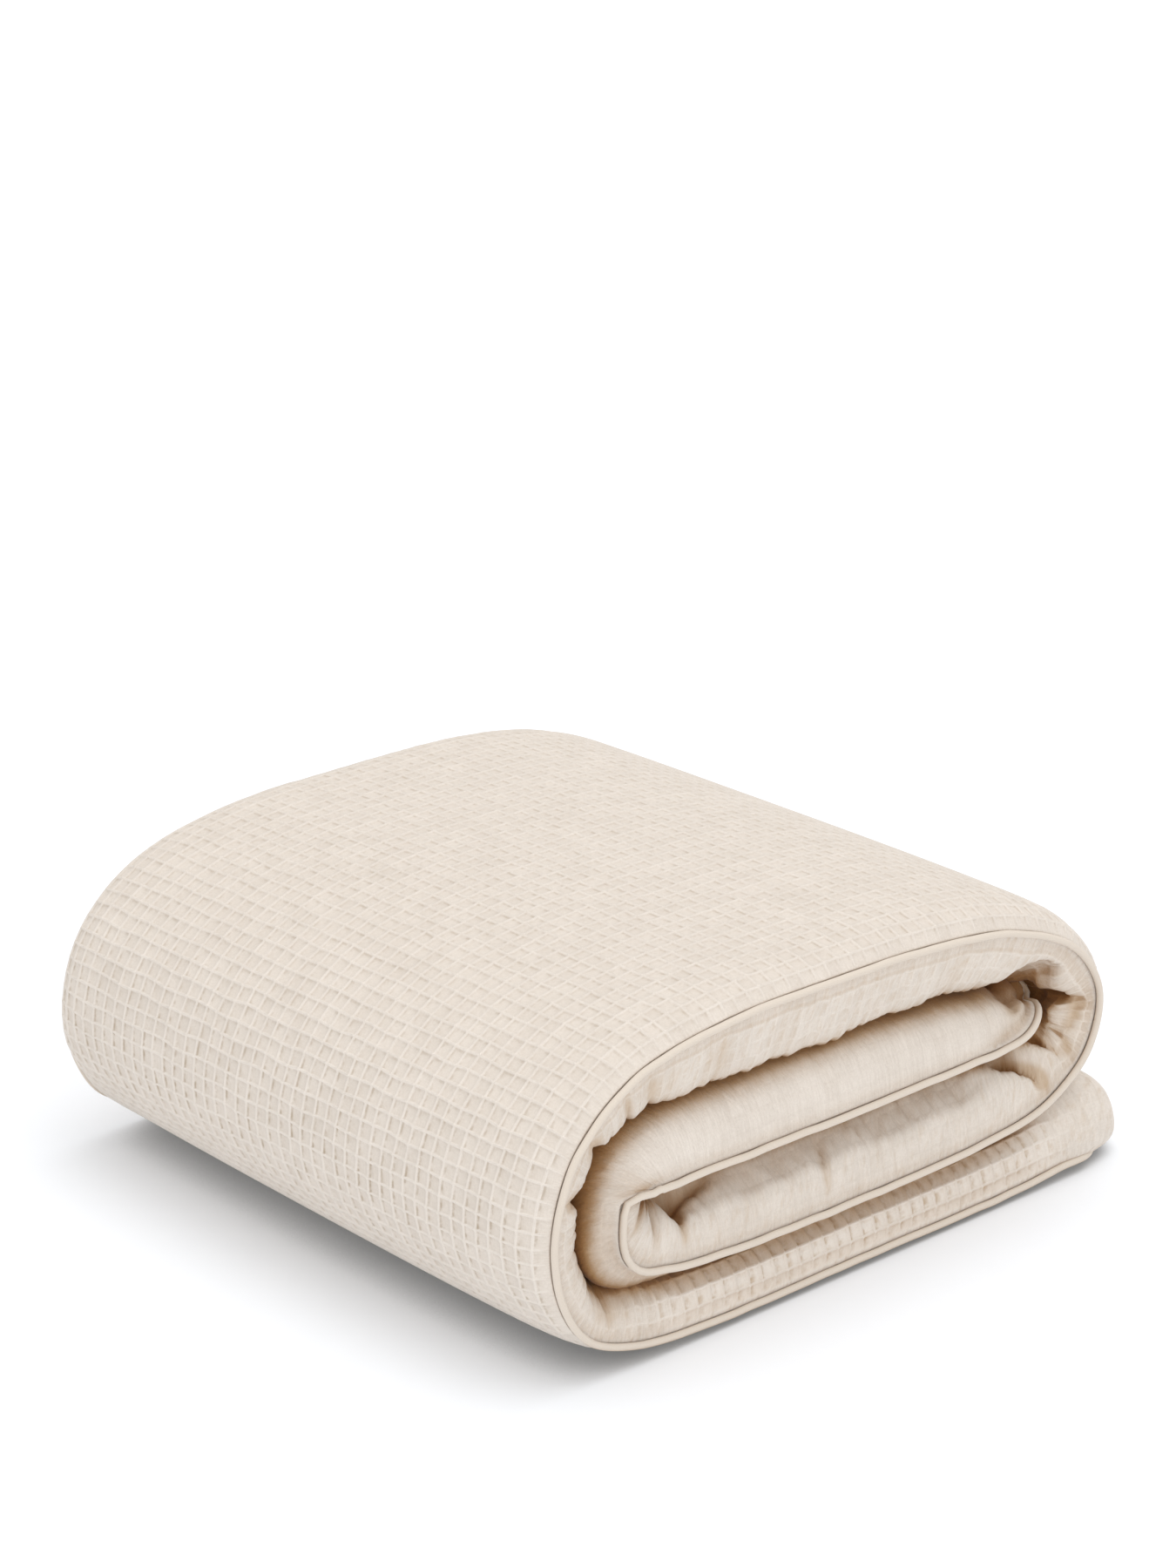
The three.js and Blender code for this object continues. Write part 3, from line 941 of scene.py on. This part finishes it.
# 1 on a stretch of the fold and 0 away from it, by the rows where it starts and ends
def onStretch(along, start, end):
    before, after = [along.fade(*[cellAt(row) for row in rows]) for rows in (start, end)]
    return (1 - before) * after


clothLook = {
    # painted light on the ridges and painted shade in the pits; the cloth's uneven tone also runs between
    # them
    "ridge": linear(229, 220, 210),
    "pit": linear(209, 199, 188),
    "stroke": linear(176, 160, 141),  # painted shade along one side of each ridge, and in hairline creases
    "crease": linear(184, 156, 122),  # painted shade along the bottom of a small fold, in the welt and the crinkles, and in the strokes on the inner cloth
    # painted shade along the seam on the outer cloth
    "seamLine": linear(160, 134, 106),
    "seamWidth": 0.35,  # mm
    "noises": {  # waves per cell along and across the fold, and how fine they go
        "broken": (1.7, 1.7, 2.0),
        "slubAlong": (11, 4, 3.0),
        "slubAcross": (4, 11, 3.0),
        "blotch": (0.35, 0.35, 3.0),
        "uneven": (0.9, 0.9, 3.0),
        "rib": (7, 0.6, 2.0),
        "contour": (1.5, 0.1, 2.0),
        "hair": (0.8, 0.6, 1.0),
        "welt": (0.5, 0.0, 2.0),
    },
    "light": {  # how light the cloth is: painted light on the ridges, less where the cloth lies flat, and on the inner cloth of the bottom run, with an uneven tone of blotches, slubs, cells and ribs
        "ridge": 0.8,
        "lyingLess": 0.4,
        "blotch": 0.5,
        "slub": 1.6,
        "cell": 0.2,
        "plain": 0.2,
        "rib": 1.3,
        "bottomRun": 0.6,
    },
    # how strongly each mark is painted into the colour: the painted shade strokes, hairline creases, troughs,
    # welt and seam line, and the painted light and shade of the crinkles
    "tint": {"stroke": 0.95, "hair": 0.05, "trough": 0.6, "welt": 0.2, "crinkle": 1.6, "seamLine": 0.45},
    "ridgeEdge": (0.03, 0.13),  # parts of a cell from the middle of a ridge
    "strokeAt": 0.83,
    "strokeBroad": (0.1, 0.55),
    "weltAt": 5.6,  # mm from the seam
    "weltWander": 1.6,
    "troughFull": 7.0,  # mm
    "bareEnd": (3.0, 8.0),  # cells from the end on the surface
    "shades": [  # how far the light is closed in, how open it is then, and what is left of the colour
        dict(place="wide fold", within=0.05, open=(0.15, 0.52), left=(0.82, 0.66, 0.5, 1)),
        dict(place="narrow gap", within=0.014, open=(0.45, 0.98), left=(0.56, 0.38, 0.2, 1)),
    ],
    "stretches": {  # rows of the fold
        "bottom run": ((1.0, 1.7), (4.0, 5.0)),
        "top run": ((8.0, 9.0), (14.0, 16.0)),
        "right bend": ((14.2, 15.2), (17.6, 18.6)),
        "inner bend": ((21.5, 22.5), (26.0, 28.0)),
    },
    "roughness": 0.92,
    "sheen": 0.1,
    "gloss": 0.2,
    "threadDeep": 0.16,  # mm
    "crinkleDeep": 1.0,  # mm
    "ridgeDeep": 0.2,  # mm
}


def noiseAt(a, b, detail):
    at = a.node("ShaderNodeCombineXYZ", None, {0: a, 1: b})
    sockets = {"Vector": at, "Scale": 1.0, "Detail": detail, "Roughness": 0.6}
    return at.node("ShaderNodeTexNoise", None, sockets)


def clothMaterial():
    material, start, shader = newMaterial("waffleCloth")
    fromSeam, lying, trough = [attribute(start, name) for name in ("fromSeam", "lying", "trough")]
    along, across, relief = splitVector(attribute(start, "weave", "Vector"))
    edge = clothLook["ridgeEdge"]
    ridge = start.math("MAXIMUM", *[wire.toRidge().fade(*edge) for wire in (along, across)])
    outside = across.math("LESS_THAN", across, skin["outerBelow"])
    lookOn = {name: onStretch(along, *rows) for name, rows in clothLook["stretches"].items()}
    plain = 1 - start.math("MINIMUM", start.math("ABSOLUTE", relief), 1.0)
    noises, light, tint = clothLook["noises"], clothLook["light"], clothLook["tint"]
    noise = {name: noiseAt(along * a, across * b, detail) for name, (a, b, detail) in noises.items()}
    # painted shade: a dark stroke along one side of each ridge, broken up, by how flat the cloth lies
    parts = [start.math("FRACT", wire) for wire in (along, across)]
    fromStroke = [start.math("ABSOLUTE", part - clothLook["strokeAt"]) for part in parts]
    sharp, broad = 0.2 + 0.55 * outside, 0.65 - 0.35 * outside
    beside = [sharp * wire.fade(*edge) + broad * wire.fade(*clothLook["strokeBroad"]) for wire in fromStroke]
    strength = 0.15 + lying * (0.8 - 0.45 * outside), 1 - 0.75 * lying
    stroke = start.math("MAXIMUM", beside[0] * strength[0], beside[1] * strength[1]) - ridge
    stroke = start.math("MAXIMUM", stroke, 0.0) * noise["broken"].fade(0.7, 0.35)
    # slubs of the yarn both ways, cells that differ, wide blotches, and painted light on the ridges against
    # painted shade in the pits, weaker where the cloth lies flat
    slub = 0.5 * noise["slubAlong"] + 0.5 * noise["slubAcross"]
    corner = [start.math("FLOOR", wire) for wire in (along, across)]
    cell = start.node("ShaderNodeCombineXYZ", None, dict(enumerate(corner)))
    differ = start.node("ShaderNodeTexWhiteNoise", {"noise_dimensions": "2D"}, {"Vector": cell}, out="Value")
    uneven = 1.4 - 0.8 * noise["uneven"]
    share = ridge * relief * uneven * (light["ridge"] - light["lyingLess"] * lying)
    share = share + light["blotch"] * noise["blotch"] + light["slub"] * (slub - 0.5)
    share = share + light["cell"] * (differ - 0.5) + light["plain"] * plain
    share = share + light["rib"] * (noise["rib"] - 0.5) * plain
    # painted light on the inner cloth of the bottom run
    share = share + light["bottomRun"] * (1 - outside) * lookOn["bottom run"]
    cloth = mixColour(share, clothLook["pit"], clothLook["ridge"])
    shadeStrokeTint = mixColour(outside, clothLook["crease"], clothLook["stroke"])
    cloth = mixColour(stroke * relief * tint["stroke"], cloth, shadeStrokeTint)
    # crinkles and hairline creases that run in from the seams, where the cloth is not ribbed; the creases are
    # painted shade
    crinkle = noiseAt(along * 2.6 + across * 1.1, across * 0.8 - along * 0.3, 3.0)
    hair = start.math("ABSOLUTE", start.math("FRACT", noise["contour"] * 7) - 0.5).fade(0.0, 0.07)
    hair = hair * noise["hair"].fade(0.62, 0.42) * plain
    cloth = mixColour(hair * tint["hair"], cloth, clothLook["stroke"])
    # painted shade along the bottom of small folds
    inTrough = 1 - trough.fade(0.0, clothLook["troughFull"])
    cloth = mixColour(inTrough * tint["trough"], cloth, clothLook["crease"])
    # painted shade of a faint welt beside the seam on the inside of the top run
    wander = clothLook["weltWander"] * noise["welt"]
    welt = start.math("ABSOLUTE", fromSeam - clothLook["weltAt"] - wander).fade(0.2, 1.6)
    onTop = lookOn["top run"] * (1 - outside)
    cloth = mixColour(welt * onTop * tint["welt"], cloth, clothLook["crease"])
    # painted light and shade over the crinkles, whose bump follows below
    cloth = mixColour((crinkle - 0.5) * (1 - outside) * plain * tint["crinkle"], cloth, clothLook["crease"])
    # painted shade: a thin dark line along the seam on the outer cloth
    line = fromSeam.fade(0.0, clothLook["seamWidth"]) * outside
    cloth = mixColour(line * tint["seamLine"], cloth, clothLook["seamLine"])
    # browner in the folds and the gaps, where light goes from cloth to cloth
    inside = start.math("MAXIMUM", 1 - outside, 1 - along.fade(cellAt(17.6), cellAt(18.2)))
    inside = inside * (1 - along.fade(*clothLook["bareEnd"])) * (1 - fromSeam.fade(1.0, 4.0))
    inside = inside * (1 - 0.25 * along.fade(cellAt(4.0), cellAt(5.0)))
    bend = lookOn["right bend"] * (1 - outside) + lookOn["inner bend"] * outside
    multiply = {"data_type": "RGBA", "blend_type": "MULTIPLY"}
    for row in clothLook["shades"]:
        openness = opennessWithin(start, row["within"], 6)
        share = (openness + 0.2 * (crinkle - 0.5) - 0.1 * bend).fade(*row["open"]) * inside
        left = mixColour(share, (1, 1, 1, 1), row["left"])
        cloth = start.node("ShaderNodeMix", multiply, {0: 1.0, 6: cloth, 7: left}, out=2)
    ridges = bumped(ridge * relief, 0.7, clothLook["ridgeDeep"])
    crinkles = bumped(crinkle * plain, 0.8, clothLook["crinkleDeep"], Normal=ridges)
    threads = bumped(slub, 0.6, clothLook["threadDeep"], Normal=crinkles)
    setSurface(shader, clothLook, cloth, threads)
    return material


clothSkin = clothMaterial()
quilt = grow("quilt", quiltMesh(), waffleTree(), {
    "Ridge Height": skin["ridgeHeight"] * mm,
    "Ridge Top": skin["ridgeTop"],
    "Ridge Foot": skin["ridgeFoot"],
    "Material": clothSkin,
})
triangles = sum(len(face.vertices) - 2 for face in quilt.data.polygons)
print("quilt:", len(quilt.data.vertices), "points,", triangles, "triangles,", cellCount, "cells long")


piping = {
    "radius": 1.65,
    "gap": 0.1,
    "step": 2.6,
    "sides": 12,
    "cornerSteps": 14,
    "wander": 0.25,
    "wanderStep": 11,
    "wanderSeed": 51,
    "offFloor": 0.1,
}


# The piping's middle line: along one side, round an end, back along the other side and round the other end
def pipingLine():
    r = fold["cornerRadius"]
    turn = r + piping["gap"] + piping["radius"]
    side = fold["width"] / 2 + piping["gap"] + piping["radius"]
    wide = fold["width"] / 2 - r
    low, high = r, foldLength - r
    lengths = np.linspace(low, high, int((high - low) / piping["step"]))[1:-1]
    cross = np.linspace(-wide, wide, int(2 * wide / piping["step"]))[1:-1]
    angles = np.linspace(0, np.pi / 2, piping["cornerSteps"])

    def straight(length, across):
        return np.stack(np.broadcast_arrays(length, across), 1)

    def corner(length, across, begin):
        return straight(length + turn * np.cos(begin + angles), across + turn * np.sin(begin + angles))

    flat = np.vstack([
        straight(lengths, -side),
        corner(high, -wide, -np.pi / 2),
        straight(high + turn, cross),
        corner(high, wide, 0),
        straight(lengths[::-1], side),
        corner(low, wide, np.pi / 2),
        straight(low - turn, cross[::-1]),
        corner(low, -wide, np.pi),
    ])
    s = sectionAt(flat[:, 0])
    around = np.arange(len(flat)) * piping["step"]
    wander = piping["wander"] * softNoise(piping["wanderSeed"], around / piping["wanderStep"])
    points = placed(s, flat[:, 1], s["seam"] + wander)
    points[:, 2] = np.maximum(points[:, 2], piping["radius"] + piping["offFloor"])
    return points


def pipingTree():
    inputs = {"Radius": "NodeSocketFloat", "Sides": "NodeSocketInt", "Material": "NodeSocketMaterial"}
    tree, wires = geometryTree("piping", inputs)
    start = Wire(tree)
    stored = "GeometryNodeStoreNamedAttribute", {"data_type": "FLOAT", "domain": "POINT"}
    line = start.node("GeometryNodeMeshToCurve", None, {0: wires["Geometry"]})
    run = start.node("GeometryNodeSplineParameter", out="Length")
    line = start.node(*stored, {"Geometry": line, "Name": "run", "Value": run})
    size = {"Resolution": wires["Sides"], "Radius": wires["Radius"]}
    ring = start.node("GeometryNodeCurvePrimitiveCircle", None, size)
    turn = start.node("GeometryNodeSplineParameter", out="Factor")
    ring = start.node(*stored, {"Geometry": ring, "Name": "turn", "Value": turn})
    tube = start.node("GeometryNodeCurveToMesh", None, {"Curve": line, "Profile Curve": ring})
    endTree(wires, tube)
    return tree


pipingLook = {
    "cloth": linear(221, 210, 197),
    "shade": linear(207, 195, 181),
    "inFold": linear(176, 148, 116),
    "foldWithin": 0.05,  # m
    "foldOpen": (0.1, 0.45),
    "threadsAround": 12,
    "threadScale": 1.6,
    "threadDeep": 0.1,  # mm
    "roughness": 0.9,
    "sheen": 0.12,
    "gloss": 0.2,
}


def pipingMaterial():
    material, start, shader = newMaterial("pipingCloth")
    run, turn = attribute(start, "run"), attribute(start, "turn")
    place = {0: run * 1000, 1: turn * pipingLook["threadsAround"]}
    flat = start.node("ShaderNodeCombineXYZ", None, place)
    grain = {"Vector": flat, "Scale": pipingLook["threadScale"], "Detail": 3.0}
    thread = start.node("ShaderNodeTexNoise", None, grain)
    colour = mixColour(thread, pipingLook["shade"], pipingLook["cloth"])
    # painted shade where the piping lies deep in a fold
    closed = opennessWithin(start, pipingLook["foldWithin"], 6).fade(*pipingLook["foldOpen"])
    colour = mixColour(closed, colour, pipingLook["inFold"])
    setSurface(shader, pipingLook, colour, bumped(thread, 0.4, pipingLook["threadDeep"]))
    return material


def pipingPath():
    points = pipingLine() * mm
    count = len(points)
    mesh = bpy.data.meshes.new("pipingPath")
    mesh.from_pydata(points.tolist(), [(i, (i + 1) % count) for i in range(count)], [])
    return mesh


pipingCloth = pipingMaterial()
pipingTube = grow("piping", pipingPath(), pipingTree(), {
    "Radius": piping["radius"] * mm,
    "Sides": piping["sides"],
    "Material": pipingCloth,
})
print("piping:", len(pipingTube.data.vertices), "points")


# The floor, the light and the camera
stage = {
    "floorSize": 16,
    "floor": (0.86, 0.88, 0.91, 1),
    "floorShade": (0.35, 0.36, 0.37, 1),  # right beside the quilt
    "contact": 0.03,  # m
    "contactOpen": (0.05, 0.6),
    "sky": 0.88,
    "lampPower": 27,
    "lampSize": 2.4,
    "lampPlace": (0.2, -0.2, 2.6),
    "fillPower": 9,
    "fillSize": 1.2,
    "fillPlace": (-1.75, -1.95, 0.5),
    "glow": (0.085, 0.34),  # painted light: the floor glows as a sweep lit from below would, less by the quilt than away from it
    "glowStart": (0.3, 1.3),  # m
}


def makeFloor():
    size = stage["floorSize"] / 2
    mesh = bpy.data.meshes.new("floor")
    corners = [(-size, -size, 0), (size, -size, 0), (size, size, 0), (-size, size, 0)]
    mesh.from_pydata(corners, [], [(0, 1, 2, 3)])
    floor = bpy.data.objects.new("floor", mesh)
    bpy.context.scene.collection.objects.link(floor)
    material, start, shader = newMaterial("floorPaint")
    tree = material.node_tree
    closed = opennessWithin(start, stage["contact"], 8).fade(*stage["contactOpen"])
    colour = mixColour(closed, stage["floor"], stage["floorShade"])
    tree.links.new(colour.socket, shader.inputs["Base Color"])
    # painted light: the floor glows, less by the quilt
    place = start.node("ShaderNodeTexCoord", out="Object")
    away = start.node("ShaderNodeVectorMath", {"operation": "LENGTH"}, {0: place}, out="Value")
    least, most = stage["glow"]
    glow = 1 - (1 - least / most) * away.fade(*stage["glowStart"])
    tree.links.new(glow.socket, shader.inputs["Emission Color"])
    shader.inputs["Emission Strength"].default_value = most
    shader.inputs["Roughness"].default_value = 1
    shader.inputs["Specular IOR Level"].default_value = 0
    mesh.materials.append(material)


def makeLight():
    world = bpy.data.worlds.new("studio")
    bpy.context.scene.world = world
    world.use_nodes = True
    sky = world.node_tree.nodes["Background"]
    sky.inputs["Color"].default_value = (1, 1, 1, 1)
    sky.inputs["Strength"].default_value = stage["sky"]
    for name in ("lamp", "fill"):
        lamp = bpy.data.lights.new(name, "AREA")
        lamp.energy = stage[name + "Power"]
        lamp.size = stage[name + "Size"]
        holder = bpy.data.objects.new(name, lamp)
        holder.location = stage[name + "Place"]
        holder.rotation_mode = "QUATERNION"
        holder.rotation_quaternion = (-holder.location).to_track_quat("-Z", "Y")
        bpy.context.scene.collection.objects.link(holder)
    bpy.context.scene.view_settings.view_transform = "Standard"


# The camera's place and aim come from the photograph, taken as 1350 x 1800
camera = {
    "place": (-1.2197, -1.3345, 0.8553),
    "aim": (0.6323, 0.6922, -0.3481),
    "lens": 97.38,
    "sensor": 36,
    "clipStart": 0.05,
}


def makeCamera():
    lens = bpy.data.cameras.new("camera")
    lens.lens = camera["lens"]
    lens.sensor_width = camera["sensor"]
    lens.clip_start = camera["clipStart"]
    holder = bpy.data.objects.new("camera", lens)
    holder.location = camera["place"]
    holder.rotation_mode = "QUATERNION"
    holder.rotation_quaternion = Vector(camera["aim"]).to_track_quat("-Z", "Y")
    bpy.context.scene.collection.objects.link(holder)
    bpy.context.scene.camera = holder


makeFloor()
makeLight()
makeCamera()
print("stage set")

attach(quilt, "root")
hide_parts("quilt")
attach(pipingTube, "root")
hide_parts("piping")
